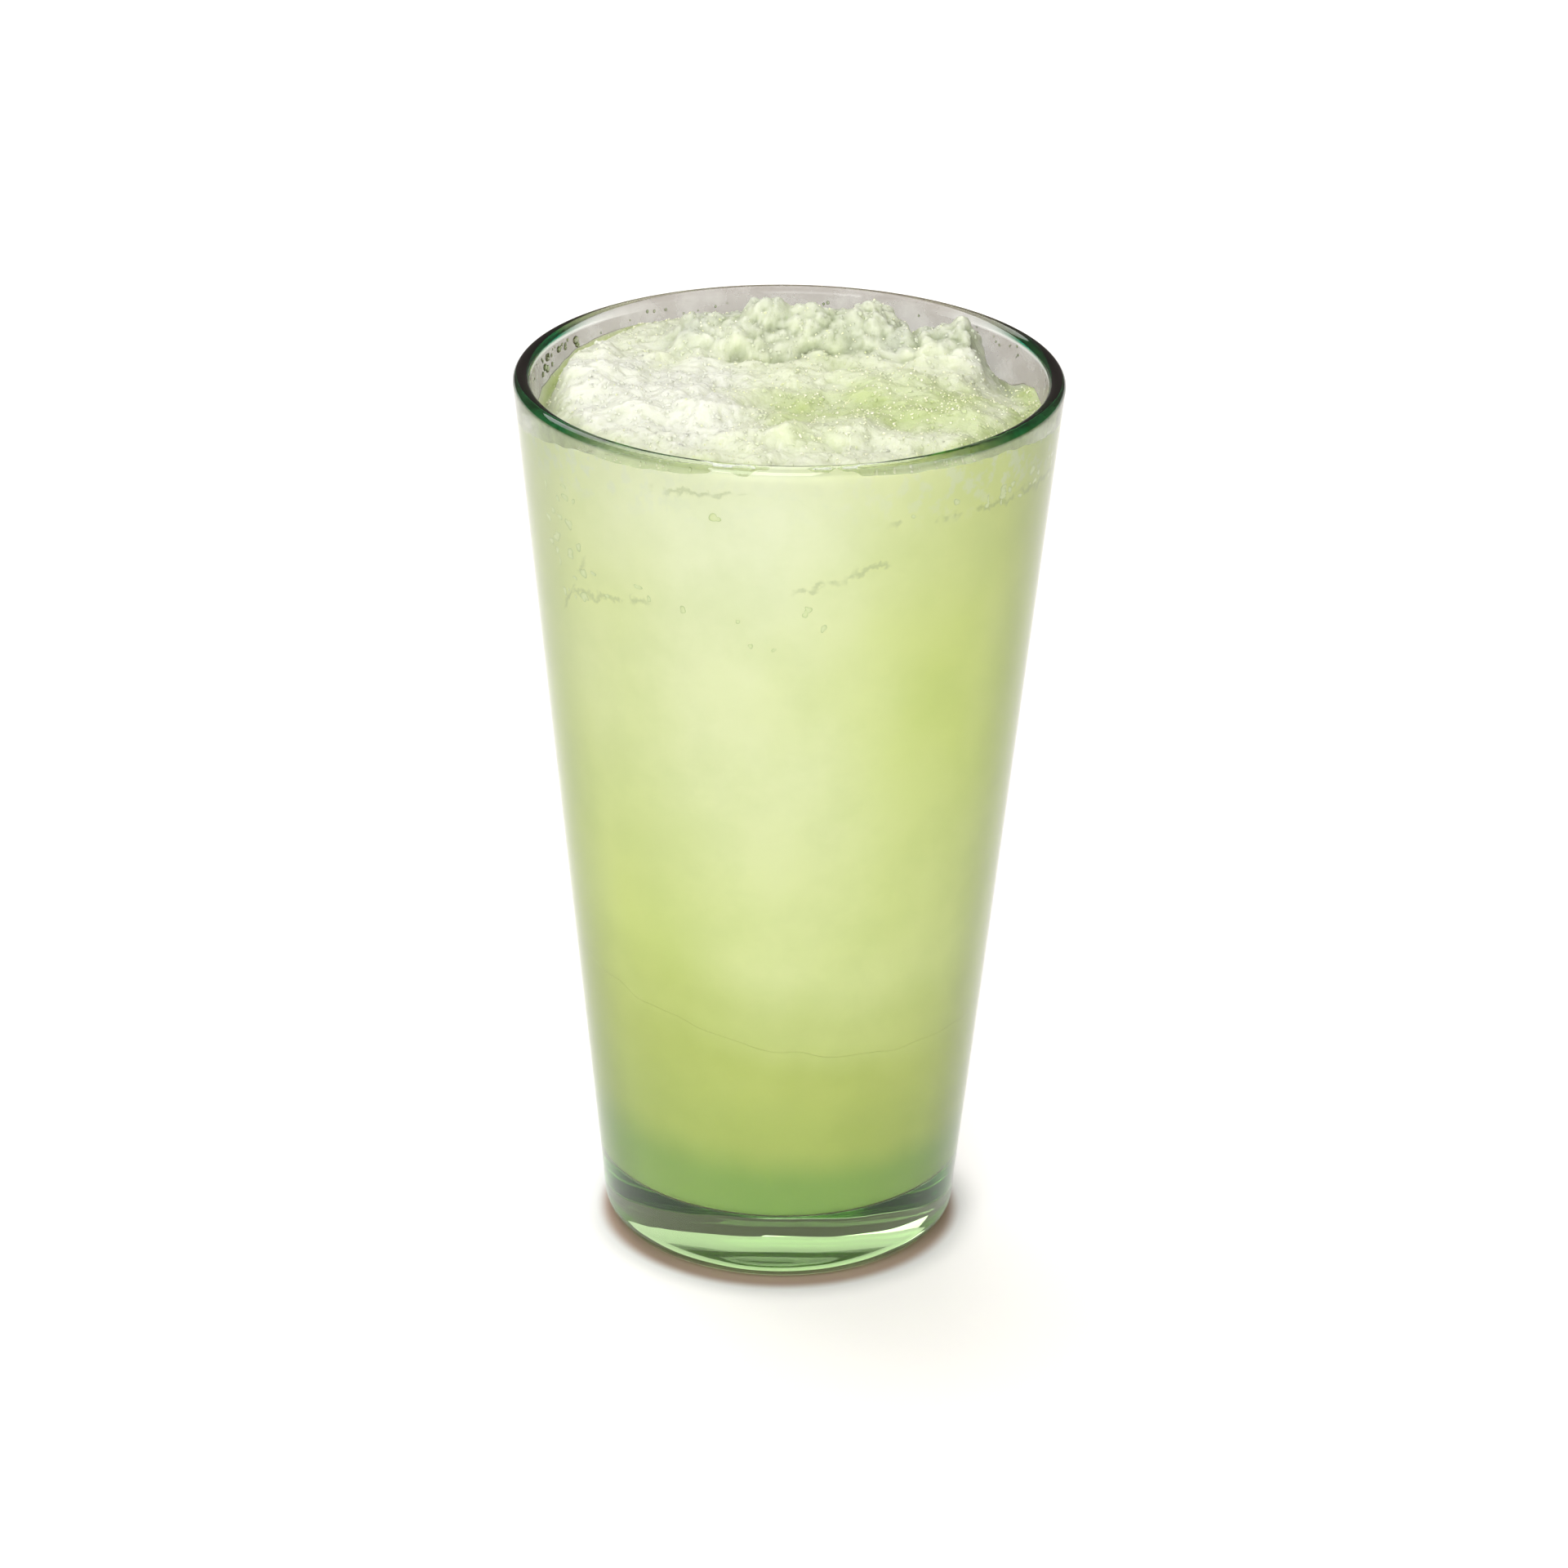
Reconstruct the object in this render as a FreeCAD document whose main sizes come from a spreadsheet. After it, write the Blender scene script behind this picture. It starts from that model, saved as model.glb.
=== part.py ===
"""Lemon slush in a tall tapered tumbler, in millimetres.

Frame: +Z up, origin on the table at the middle of the foot, and -Y is the front.
Three separate pieces, one solid and one file each:

glass   the pressed tumbler: thick base with a shallow dome under it, straight taper, rounded lip
slush   the packed ice, from its sunken underside to the uneven heap at the mouth
melt    the liquid that has drained to the bottom of the glass, under the ice
"""

import FreeCAD
import Part
import math
import os

import Sketcher

# Driving dimensions. The wall's taper is the straight line from foot_radius at the table
# to rim_radius at the top, before the heel and the lip are rounded.
DIMENSIONS = {
    "total_height": 150.0,
    "rim_radius": 44.6,
    "foot_radius": 29.0,
    "rim_wall": 2.75,
    "floor_wall": 5.0,
    "floor_level": 11.5,
    "floor_fillet": 2.0,
    "heel_fillet": 4.7,
    "lip_fillet": 1.3,
    "dome_radius": 20.0,
    "dome_depth": 2.0,
    "headroom": 12.0,
    "melt_level": 44.0,
    "melt_tilt": -0.18,
    "melt_bow": 0.0035,
    "heap_level": 147.2,
    "heap_crown": 1.6,
    "shoulder_width": 6.0,
    "ripple_height": 0.3,
    "ripple_length": 9.0,
}

# How far below the lip the ice meets the wall, every 45 degrees from +X towards +Y.
WALL_DROPS = (6.2, 6.6, 5.2, 3.7, 7.6, 3.4, 1.7, 2.9)

# The heap's lumps: x, y, rise, half-width along x and along y. A hollow has a negative rise.
RIDGE = (
    (-17.0, 19.0, 1.6, 4.2, 4.4),
    (-9.8, 20.5, 3.2, 5.0, 5.0),
    (-3.0, 21.5, 5.4, 5.4, 5.6),
    (5.6, 20.5, 6.0, 5.6, 5.4),
    (13.4, 22.0, 6.0, 5.0, 5.8),
    (23.4, 17.5, 3.4, 4.4, 4.6),
    (28.8, 18.5, 3.8, 3.8, 5.0),
)
MOUNDS = (
    (-31.0, 3.0, 1.8, 5.0, 11.0),
    (-24.5, -15.0, 1.4, 4.2, 5.0),
    (-18.0, -10.0, 1.6, 6.5, 5.5),
    (-12.5, -16.0, 1.7, 4.4, 4.4),
    (-5.5, -27.0, 1.3, 3.6, 3.6),
    (0.5, -24.5, 1.7, 3.4, 3.4),
    (10.6, -21.0, 1.7, 4.0, 3.6),
    (17.5, -1.0, 1.3, 5.0, 4.4),
    (26.0, -13.0, 1.0, 6.0, 6.0),
)
HOLLOWS = (
    (7.0, 10.5, -1.8, 11.0, 3.4),
    (3.0, -11.0, -1.7, 6.0, 5.0),
    (-9.0, 2.0, -0.8, 6.0, 5.0),
    (37.4, 7.5, -4.6, 5.8, 10.5),
)

LUMP_FLATNESS = 2.4     # how square-shouldered a lump is: 2 is a bell, and more is flatter on top
RIDGE_MERGE = 4         # how sharply one lump of the ridge stands against the next
RIPPLE_SWAY = 1.7       # how far the ripple's crests wander from straight, in radians
RIPPLE_STRETCH = 0.6    # and how often they do, as a share of the ripple's own rate

GRID_REACH = 45.0       # half the width of the square that a surface is interpolated over
GRID_STEPS = 30
OUT_DIR = "parts"


def make_sheet(doc):
    """The spreadsheet that every size is read from: a label and an aliased number per row."""
    sheet = doc.addObject("Spreadsheet::Sheet", "Sizes")
    for row, (alias, value) in enumerate(DIMENSIONS.items(), start=1):
        sheet.set(f"A{row}", alias)
        sheet.set(f"B{row}", str(value))
        sheet.setAlias(f"B{row}", alias)
    doc.recompute()
    return sheet


def origin_plane(body, role):
    """The body's own origin plane with this role."""
    return next(p for p in body.Origin.OriginFeatures if p.Role == role)


def vertex_at(sketch, line, end, across, up):
    """Holds one end of a line at these distances from the axis and from the table."""
    for kind, expression in (("DistanceX", across), ("DistanceY", up)):
        index = sketch.addConstraint(Sketcher.Constraint(kind, -1, 1, line, end, 1.0))
        sketch.setExpression(f"Constraints[{index}]", expression)


def outline_sketch(body, name, corners):
    """A half section on the XZ plane: corners (x, z, x expression, z expression) in order.

    The first and last corners are on the axis, and the last side runs along it. The corners
    on the axis are held by it, so only their heights are dimensions.
    """
    sketch = body.newObject("Sketcher::SketchObject", name)
    sketch.AttachmentSupport = (origin_plane(body, "XZ_Plane"), [""])
    sketch.MapMode = "FlatFace"
    places = [FreeCAD.Vector(x, z, 0) for x, z, _, _ in corners]
    count = len(corners)
    for i, start in enumerate(places):
        sketch.addGeometry(Part.LineSegment(start, places[(i + 1) % count]))
    for i in range(count):
        sketch.addConstraint(Sketcher.Constraint("Coincident", i, 2, (i + 1) % count, 1))
    for i, (_, _, across, up) in enumerate(corners):
        if across is not None:
            vertex_at(sketch, i, 1, across, up)
            continue
        sketch.addConstraint(Sketcher.Constraint("PointOnObject", i, 1, -2))
        index = sketch.addConstraint(Sketcher.Constraint("DistanceY", -1, 1, i, 1, 1.0))
        sketch.setExpression(f"Constraints[{index}]", up)
    return sketch


def revolve(body, sketch):
    """Turns a half section once round the vertical axis."""
    turned = body.newObject("PartDesign::Revolution", f"{body.Name}_turned")
    turned.Profile = sketch
    turned.ReferenceAxis = (sketch, ["V_Axis"])
    turned.Angle = 360.0
    body.Tip = turned
    return turned


def circle_edges(feature, places):
    """Names of the feature's round edges that lie at these (radius, height) pairs."""
    names = []
    for number, edge in enumerate(feature.Shape.Edges, start=1):
        curve = edge.Curve
        if not isinstance(curve, Part.Circle):
            continue
        for radius, height in places:
            if math.isclose(curve.Radius, radius, abs_tol=0.01) and math.isclose(
                curve.Center.z, height, abs_tol=0.01
            ):
                names.append(f"Edge{number}")
    return names


def round_off(doc, body, base, name, places, radius_cell):
    """Rounds the circular edges at these places with the radius in this cell."""
    doc.recompute()
    edges = circle_edges(base, places)
    assert len(edges) == len(places), f"{name}: found {edges}"
    fillet = body.newObject("PartDesign::Fillet", name)
    fillet.Base = (base, edges)
    fillet.setExpression("Radius", f"Sizes.{radius_cell}")
    body.Tip = fillet
    return fillet


def wall_radius(size, height):
    """The outside radius of the taper at a height."""
    return size.foot_radius + (size.rim_radius - size.foot_radius) * height / size.total_height


def inner_radius(size, height):
    """The inside radius of the taper at a height: straight from the floor's edge to the mouth."""
    low = wall_radius(size, size.floor_level) - size.floor_wall
    high = size.rim_radius - size.rim_wall
    share = (height - size.floor_level) / (size.total_height - size.floor_level)
    return low + (high - low) * share


FLOOR_RADIUS = (
    "Sizes.foot_radius + (Sizes.rim_radius - Sizes.foot_radius)"
    " * Sizes.floor_level / Sizes.total_height - Sizes.floor_wall"
)
MOUTH_RADIUS = "Sizes.rim_radius - Sizes.rim_wall"


def make_glass(doc, size):
    """The tumbler: its section turned round the axis, with heel, lip and floor corner rounded."""
    body = doc.addObject("PartDesign::Body", "glass_body")
    floor = inner_radius(size, size.floor_level)
    mouth = inner_radius(size, size.total_height)
    corners = (
        (0, 0, None, "0"),
        (size.foot_radius, 0, "Sizes.foot_radius", "0"),
        (size.rim_radius, size.total_height, "Sizes.rim_radius", "Sizes.total_height"),
        (mouth, size.total_height, MOUTH_RADIUS, "Sizes.total_height"),
        (floor, size.floor_level, FLOOR_RADIUS, "Sizes.floor_level"),
        (0, size.floor_level, None, "Sizes.floor_level"),
    )
    turned = revolve(body, outline_sketch(body, "glass_section", corners))
    top = size.total_height
    heel = round_off(doc, body, turned, "heel", [(size.foot_radius, 0)], "heel_fillet")
    lip = round_off(doc, body, heel, "lip", [(size.rim_radius, top), (mouth, top)], "lip_fillet")
    corner = round_off(
        doc, body, lip, "floor_corner", [(floor, size.floor_level)], "floor_fillet"
    )
    hollow_under(doc, body, corner)
    body.Label = "glass"
    return body


def hollow_under(doc, body, base):
    """Cuts the shallow dome under the foot, which leaves the ring that the glass stands on."""
    sketch = body.newObject("Sketcher::SketchObject", "dome_section")
    sketch.AttachmentSupport = (origin_plane(body, "XZ_Plane"), [""])
    sketch.MapMode = "FlatFace"
    radius, depth = DIMENSIONS["dome_radius"], DIMENSIONS["dome_depth"]
    sphere = (radius**2 + depth**2) / (2 * depth)
    centre = FreeCAD.Vector(0, depth - sphere, 0)
    circle = Part.Circle(centre, FreeCAD.Vector(0, 0, 1), sphere)
    start = math.asin((sphere - depth) / sphere)
    sketch.addGeometry(Part.ArcOfCircle(circle, start, math.pi / 2))
    sketch.addGeometry(Part.LineSegment(FreeCAD.Vector(0, depth, 0), FreeCAD.Vector(0, 0, 0)))
    sketch.addGeometry(Part.LineSegment(FreeCAD.Vector(0, 0, 0), FreeCAD.Vector(radius, 0, 0)))
    for first, first_end, second, second_end in ((0, 2, 1, 1), (1, 2, 2, 1), (2, 2, 0, 1)):
        sketch.addConstraint(
            Sketcher.Constraint("Coincident", first, first_end, second, second_end)
        )
    sketch.addConstraint(Sketcher.Constraint("Coincident", 1, 2, -1, 1))
    sketch.addConstraint(Sketcher.Constraint("PointOnObject", 1, 1, -2))
    sketch.addConstraint(Sketcher.Constraint("PointOnObject", 2, 2, -1))
    sketch.addConstraint(Sketcher.Constraint("PointOnObject", 0, 3, -2))
    wide = sketch.addConstraint(Sketcher.Constraint("DistanceX", -1, 1, 2, 2, radius))
    sketch.setExpression(f"Constraints[{wide}]", "Sizes.dome_radius")
    deep = sketch.addConstraint(Sketcher.Constraint("DistanceY", -1, 1, 1, 1, depth))
    sketch.setExpression(f"Constraints[{deep}]", "Sizes.dome_depth")
    doc.recompute()
    before = base.Shape.Volume
    dome = body.newObject("PartDesign::Groove", "dome")
    dome.Profile = sketch
    dome.ReferenceAxis = (sketch, ["V_Axis"])
    dome.Angle = 360.0
    body.Tip = dome
    doc.recompute()
    cap = math.pi * depth * (3 * radius**2 + depth**2) / 6
    assert math.isclose(before - dome.Shape.Volume, cap, rel_tol=0.01), "the dome cut nothing"


def make_cavity(doc, size):
    """The inside of the glass, carried on past the mouth as far as the heap may rise."""
    body = doc.addObject("PartDesign::Body", "cavity")
    floor = inner_radius(size, size.floor_level)
    top = size.total_height + size.headroom
    grown = f"({MOUTH_RADIUS} - ({FLOOR_RADIUS})) / (Sizes.total_height - Sizes.floor_level)"
    corners = (
        (0, size.floor_level, None, "Sizes.floor_level"),
        (floor, size.floor_level, FLOOR_RADIUS, "Sizes.floor_level"),
        (
            inner_radius(size, top),
            top,
            f"{MOUTH_RADIUS} + {grown} * Sizes.headroom",
            "Sizes.total_height + Sizes.headroom",
        ),
        (0, top, None, "Sizes.total_height + Sizes.headroom"),
    )
    turned = revolve(body, outline_sketch(body, "cavity_section", corners))
    round_off(doc, body, turned, "cavity_corner", [(floor, size.floor_level)], "floor_fillet")
    return body


def smooth(share):
    """0 below 0, 1 above 1, and an even S between."""
    share = min(max(share, 0.0), 1.0)
    return share * share * (3 - 2 * share)


def around(values, angle):
    """A value round the circle, eased between the evenly spaced ones given."""
    place = (angle / math.tau % 1.0) * len(values)
    first = int(place)
    share = smooth(place - first)
    return values[first % len(values)] * (1 - share) + values[(first + 1) % len(values)] * share


def lump(x, y, shape):
    """One lump's height at a point: flat-topped, and half as high at its half-widths."""
    centre_x, centre_y, rise, wide, deep = shape
    away = math.hypot((x - centre_x) / wide, (y - centre_y) / deep)
    return rise * 0.5 ** (away**LUMP_FLATNESS)


def ripple(size, x, y):
    """The slight unevenness between the lumps."""
    rate = math.tau / size.ripple_length
    sway = RIPPLE_SWAY * math.sin(RIPPLE_STRETCH * rate * y)
    return size.ripple_height * (math.sin(rate * x + sway) + math.sin(rate * y))


def heap_height(size, x, y):
    """The top of the ice: a low crown with lumps, which falls to the wall round its edge."""
    reach = math.hypot(x, y)
    mouth = inner_radius(size, size.total_height)
    crown = size.heap_crown * (1 - (reach / mouth) ** 2)
    ridge = sum(lump(x, y, shape) ** RIDGE_MERGE for shape in RIDGE) ** (1 / RIDGE_MERGE)
    rises = sum(lump(x, y, shape) for shape in MOUNDS + HOLLOWS)
    inside = size.heap_level + crown + ridge + rises + ripple(size, x, y)
    wall = size.total_height - around(WALL_DROPS, math.atan2(y, x))
    edge = smooth((reach - (mouth - size.shoulder_width)) / size.shoulder_width)
    return inside + (wall - inside) * edge


def melt_height(size, x, y):
    """The ice's underside: tilted, a little bowed, and uneven."""
    return size.melt_level + size.melt_tilt * x + size.melt_bow * x * x + ripple(size, y, x)


def space_above(doc, name, height, size, top):
    """The block between a height function's smooth surface and a level top."""
    step = 2 * GRID_REACH / GRID_STEPS
    line = [-GRID_REACH + step * i for i in range(GRID_STEPS + 1)]
    points = [[FreeCAD.Vector(x, y, height(size, x, y)) for y in line] for x in line]
    surface = Part.BSplineSurface()
    surface.interpolate(points)
    block = surface.toShape().extrude(FreeCAD.Vector(0, 0, top))
    space = doc.addObject("Part::Feature", name)
    space.Shape = block
    space.Placement = FreeCAD.Placement()
    return space


def combine(doc, kind, name, base, tool):
    """A boolean of two objects of the document."""
    result = doc.addObject(kind, name)
    result.Base = base
    result.Tool = tool
    return result


def make_contents(doc, size):
    """The ice and the liquid: the cavity, cut at the ice's underside and at the heap's top."""
    cavity = make_cavity(doc, size)
    over_melt = space_above(doc, "over_melt", melt_height, size, 2 * size.total_height)
    over_heap = space_above(doc, "over_heap", heap_height, size, size.total_height)
    melt = combine(doc, "Part::Cut", "melt", cavity, over_melt)
    above = combine(doc, "Part::Common", "above_melt", cavity, over_melt)
    slush = combine(doc, "Part::Cut", "slush", above, over_heap)
    return slush, melt


def check(doc, pieces):
    """Stops before anything is written if an object failed or a piece isn't one sound solid."""
    for thing in doc.Objects:
        assert not {"Invalid", "Error"} & set(thing.State), f"{thing.Label}: {thing.State}"
    for piece in pieces:
        shape = piece.Shape
        assert not shape.isNull() and shape.isValid(), f"{piece.Label} isn't sound"
        assert len(shape.Solids) == 1, f"{piece.Label} is {len(shape.Solids)} solids"


def main():
    doc = FreeCAD.newDocument("lemon_slush")
    size = make_sheet(doc)
    glass = make_glass(doc, size)
    slush, melt = make_contents(doc, size)
    doc.recompute()
    pieces = (glass, slush, melt)
    check(doc, pieces)
    os.makedirs(OUT_DIR, exist_ok=True)
    for piece in pieces:
        box = piece.Shape.BoundBox
        print(f"{piece.Label}: {piece.Shape.Volume / 1000:.1f} cm3, z {box.ZMin:.2f} to {box.ZMax:.2f}")
        piece.Shape.exportStep(os.path.join(OUT_DIR, f"{piece.Label}.step"))


main()
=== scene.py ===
"""Lemon slush in a tumbler: a heap of wet ice over cloudy melt, in clear greenish glass.

The glass is turned again as one smooth body. The ice and the melt are meshes that reach just into its
wall, with loose grains on the heap, and air pockets and drops along the wall. The heap's broad shape
and the melt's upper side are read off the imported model; the finer relief is added to them here.
Every length below is in metres, and mm() turns millimetres into them. The front is at negative y.
"""

import math

import bmesh
import bpy
import numpy as np
from mathutils import Matrix, Vector, noise
from mathutils.bvhtree import BVHTree
from mathutils.kdtree import KDTree


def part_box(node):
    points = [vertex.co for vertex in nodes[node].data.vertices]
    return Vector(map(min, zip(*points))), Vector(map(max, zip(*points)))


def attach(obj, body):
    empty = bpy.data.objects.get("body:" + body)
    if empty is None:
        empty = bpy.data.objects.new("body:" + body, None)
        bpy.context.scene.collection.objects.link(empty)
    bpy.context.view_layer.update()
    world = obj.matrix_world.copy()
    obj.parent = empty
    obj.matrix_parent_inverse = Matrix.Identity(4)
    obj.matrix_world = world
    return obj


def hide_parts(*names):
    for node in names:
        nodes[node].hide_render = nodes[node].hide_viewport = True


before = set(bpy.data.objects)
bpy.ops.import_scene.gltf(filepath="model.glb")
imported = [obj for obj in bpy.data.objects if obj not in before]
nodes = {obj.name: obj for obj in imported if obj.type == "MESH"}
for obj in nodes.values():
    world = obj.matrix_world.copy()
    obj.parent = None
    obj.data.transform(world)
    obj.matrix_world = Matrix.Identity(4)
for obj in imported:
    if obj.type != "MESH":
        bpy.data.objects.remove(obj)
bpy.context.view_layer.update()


def mm(value):
    """Millimetres as metres."""
    return value * 0.001


# ---------------------------------------------------------------- sizes taken from the frame

RIM_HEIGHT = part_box("glass")[1].z
OVERLAP = mm(0.12)            # how far the contents reach into the glass
GLASS_IOR = 1.52
MELT_OVER_GLASS_IOR = 0.88    # the melt's index over the glass's, for total reflection at the wall
DOWN = Vector((0, 0, -1))


def tree_of(name):
    """A search tree over one node's mesh."""
    mesh = nodes[name].data
    points = [v.co for v in mesh.vertices]
    return BVHTree.FromPolygons(points, [p.vertices for p in mesh.polygons])


glass_tree = tree_of("glass")
slush_tree = tree_of("slush")
melt_tree = tree_of("melt")
FLOOR_LEVEL = glass_tree.ray_cast(Vector((0, 0, RIM_HEIGHT)), DOWN)[0].z


def measured_radius(height):
    """The inner radius of the glass at a height."""
    hit = glass_tree.ray_cast(Vector((0, 0, height)), Vector((1, 0, 0)))[0]
    return hit.x


WALL_LOW, WALL_HIGH = FLOOR_LEVEL + mm(8), RIM_HEIGHT - mm(6)
WALL_SLOPE = (measured_radius(WALL_HIGH) - measured_radius(WALL_LOW)) / (WALL_HIGH - WALL_LOW)
HEAP_EDGE = RIM_HEIGHT - mm(5)       # about where the heap meets the wall
MELT_EDGE = mm(45)                   # about where the melt's upper side meets it


def inner_radius(height):
    """The inner radius of the straight wall at a height, or at each height of an array."""
    return measured_radius(WALL_LOW) + WALL_SLOPE * (height - WALL_LOW)


def surface_height(tree, x, y, inset=mm(0.4)):
    """The height of a node's upper side over a point, or over the nearest point inside its rim."""
    reach = max(math.hypot(x, y), 1e-9)
    for step in range(60):
        shrink = max(0.0, 1 - step * inset / reach)
        hit = tree.ray_cast(Vector((x * shrink, y * shrink, RIM_HEIGHT + mm(20))), DOWN)[0]
        if hit is not None:
            return hit.z
    raise ValueError("no surface under a point")


def melt_height(radius, turns):
    """The height of the melt's upper side at a radius and at each turn round the axis."""
    radii = np.broadcast_to(radius, turns.shape)
    return np.array([surface_height(melt_tree, r * math.cos(t), r * math.sin(t))
                     for r, t in zip(radii, turns)])


def ring(radius, turns, level):
    """Points round the axis; radius and level are numbers, or arrays with a value for each turn."""
    return np.stack(np.broadcast_arrays(radius * np.cos(turns), radius * np.sin(turns), level), axis=1)


# ---------------------------------------------------------------- mesh helpers

def add_mesh(name, points, faces, smooth=True):
    """A mesh object from an array of points and a list or array of faces."""
    mesh = bpy.data.meshes.new(name)
    mesh.from_pydata([tuple(p) for p in points], [], [tuple(int(i) for i in f) for f in faces])
    mesh.validate()
    mesh.polygons.foreach_set("use_smooth", [smooth] * len(mesh.polygons))
    mesh.update()
    item = bpy.data.objects.new(name, mesh)
    bpy.context.scene.collection.objects.link(item)
    return item


def set_attribute(item, name, values):
    """A number for each point of a mesh, for its material to read."""
    attribute = item.data.attributes.new(name, "FLOAT", "POINT")
    attribute.data.foreach_set("value", np.asarray(values, np.float32))


def sharpen_borders(item):
    """Keeps a crisp edge where faces of two materials meet, so that neither shades into the other."""
    mesh = item.data
    material = np.empty(len(mesh.polygons), np.int32)
    corners = np.empty(len(mesh.polygons), np.int32)
    edge = np.empty(len(mesh.loops), np.int32)
    mesh.polygons.foreach_get("material_index", material)
    mesh.polygons.foreach_get("loop_total", corners)
    mesh.loops.foreach_get("edge_index", edge)
    of_corner = np.repeat(material, corners)
    lowest = np.full(len(mesh.edges), 99, np.int32)
    highest = np.full(len(mesh.edges), -1, np.int32)
    np.minimum.at(lowest, edge, of_corner)
    np.maximum.at(highest, edge, of_corner)
    mesh.edges.foreach_set("use_edge_sharp", lowest != highest)


def ring_faces(first, second, count, turned=False):
    """Quads between two closed rings of points that start at two indices."""
    ahead = (np.arange(count) + 1) % count
    here = np.arange(count)
    faces = np.stack([first + here, second + here, second + ahead, first + ahead], axis=1)
    return faces[:, ::-1] if turned else faces


def disc_grid(cells):
    """Points of a unit disc on a squared grid, its faces, and the indices round its edge.

    A square of cells is pressed into the disc with equal areas, so that cells have like sizes."""
    side = np.linspace(-1, 1, cells + 1)
    a, b = np.meshgrid(side, side, indexing="ij")
    wide = np.abs(a) > np.abs(b)
    reach = np.where(wide, a, b)
    safe_a = np.where(np.abs(a) < 1e-12, 1e-12, a)
    safe_b = np.where(np.abs(b) < 1e-12, 1e-12, b)
    angle = np.where(wide, math.pi / 4 * b / safe_a, math.pi / 2 - math.pi / 4 * a / safe_b)
    x, y = (reach * np.cos(angle)).ravel(), (reach * np.sin(angle)).ravel()
    index = np.arange((cells + 1) ** 2).reshape(cells + 1, cells + 1)
    faces = np.stack([index[:-1, :-1], index[1:, :-1], index[1:, 1:], index[:-1, 1:]], axis=-1)
    edge = np.concatenate([index[:-1, 0], index[-1, :-1], index[:0:-1, -1], index[0, :0:-1]])
    return x, y, faces.reshape(-1, 4), edge


# ---------------------------------------------------------------- the glass

RIM_RADIUS, FOOT_RADIUS = mm(44.6), mm(29.0)
HEEL_ROUNDING, LIP_ROUNDING, CORNER_ROUNDING = mm(4.7), mm(1.3), mm(2.0)
DOME_RADIUS, DOME_DEPTH = mm(20.0), mm(2.0)
GLASS_SECTORS = 320


def rounded(corners, steps=14):
    """Points along a line of (radius, height, rounding) corners, with an arc at each rounded one."""
    out = []
    for k, (radius, level, rounding) in enumerate(corners):
        here = np.array([radius, level])
        if rounding == 0:
            out.append(here)
            continue
        back = np.array(corners[k - 1][:2]) - here
        ahead = np.array(corners[k + 1][:2]) - here
        back, ahead = back / np.linalg.norm(back), ahead / np.linalg.norm(ahead)
        half = math.acos(float(back @ ahead)) / 2
        middle = (back + ahead) / np.linalg.norm(back + ahead)
        centre = here + middle * rounding / math.sin(half)
        start = here + back * rounding / math.tan(half) - centre
        end = here + ahead * rounding / math.tan(half) - centre
        sweep = math.pi - 2 * half
        for share in np.linspace(0, 1, steps):
            out.append(centre + (start * math.sin((1 - share) * sweep) + end * math.sin(share * sweep))
                       / math.sin(sweep))
    return np.array(out)


def refined(line, longest):
    """The same line with its stretches divided so that none is longer than a length."""
    out = [line[0]]
    for start, end in zip(line[:-1], line[1:]):
        pieces = max(1, math.ceil(np.linalg.norm(end - start) / longest))
        out += [start + (end - start) * k / pieces for k in range(1, pieces + 1)]
    return np.array(out)


def make_glass():
    """The tumbler turned as one smooth body, with the faint unevenness of pressed glass low down."""
    sphere = (DOME_RADIUS ** 2 + DOME_DEPTH ** 2) / (2 * DOME_DEPTH)
    dome = [(r, DOME_DEPTH - sphere + math.sqrt(sphere ** 2 - r ** 2), 0)
            for r in np.linspace(DOME_RADIUS / 10, DOME_RADIUS, 10)]
    corners = dome + [(FOOT_RADIUS, 0, HEEL_ROUNDING), (RIM_RADIUS, RIM_HEIGHT, LIP_ROUNDING),
                      (inner_radius(RIM_HEIGHT), RIM_HEIGHT, LIP_ROUNDING),
                      (inner_radius(FLOOR_LEVEL), FLOOR_LEVEL, CORNER_ROUNDING),
                      (DOME_RADIUS / 10, FLOOR_LEVEL, 0)]
    line = refined(rounded(corners), mm(2.5))
    turns = np.arange(GLASS_SECTORS) * math.tau / GLASS_SECTORS
    points = []
    for radius, level in line:
        low_down = np.clip((mm(24) - level) / mm(10), 0, 1) * np.clip(radius / mm(15), 0, 1)
        uneven = np.array([noise.noise(Vector((radius * math.cos(t), radius * math.sin(t), level)) / mm(7))
                           for t in turns]) * mm(0.07) * low_down
        if level <= mm(0.3) or abs(level - FLOOR_LEVEL) < mm(0.1):
            uneven = uneven * 0
        points.append(ring(radius + uneven, turns, level))
    under, floor = len(line) * GLASS_SECTORS, len(line) * GLASS_SECTORS + 1
    points = np.concatenate(points + [np.array([[0, 0, DOME_DEPTH], [0, 0, FLOOR_LEVEL]])])
    faces = []
    for k in range(len(line) - 1):
        faces += ring_faces(k * GLASS_SECTORS, (k + 1) * GLASS_SECTORS, GLASS_SECTORS, turned=True).tolist()
    index = np.arange(GLASS_SECTORS)
    ahead = (index + 1) % GLASS_SECTORS
    last = (len(line) - 1) * GLASS_SECTORS
    faces += np.stack([np.full(GLASS_SECTORS, under), ahead, index], axis=1).tolist()
    faces += np.stack([np.full(GLASS_SECTORS, floor), last + index, last + ahead], axis=1).tolist()
    return add_mesh("tumbler", points, faces)


# ---------------------------------------------------------------- the heap's surface

HEAP_CELLS = 240
SIDE_ROWS = 30
UNDER_RINGS = 8
SEAM = mm(0.04)               # the gap that keeps the ice and the melt apart
RIDGE_END_RISE = mm(1.5)      # how far the ridge's lower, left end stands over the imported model's heap
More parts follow.
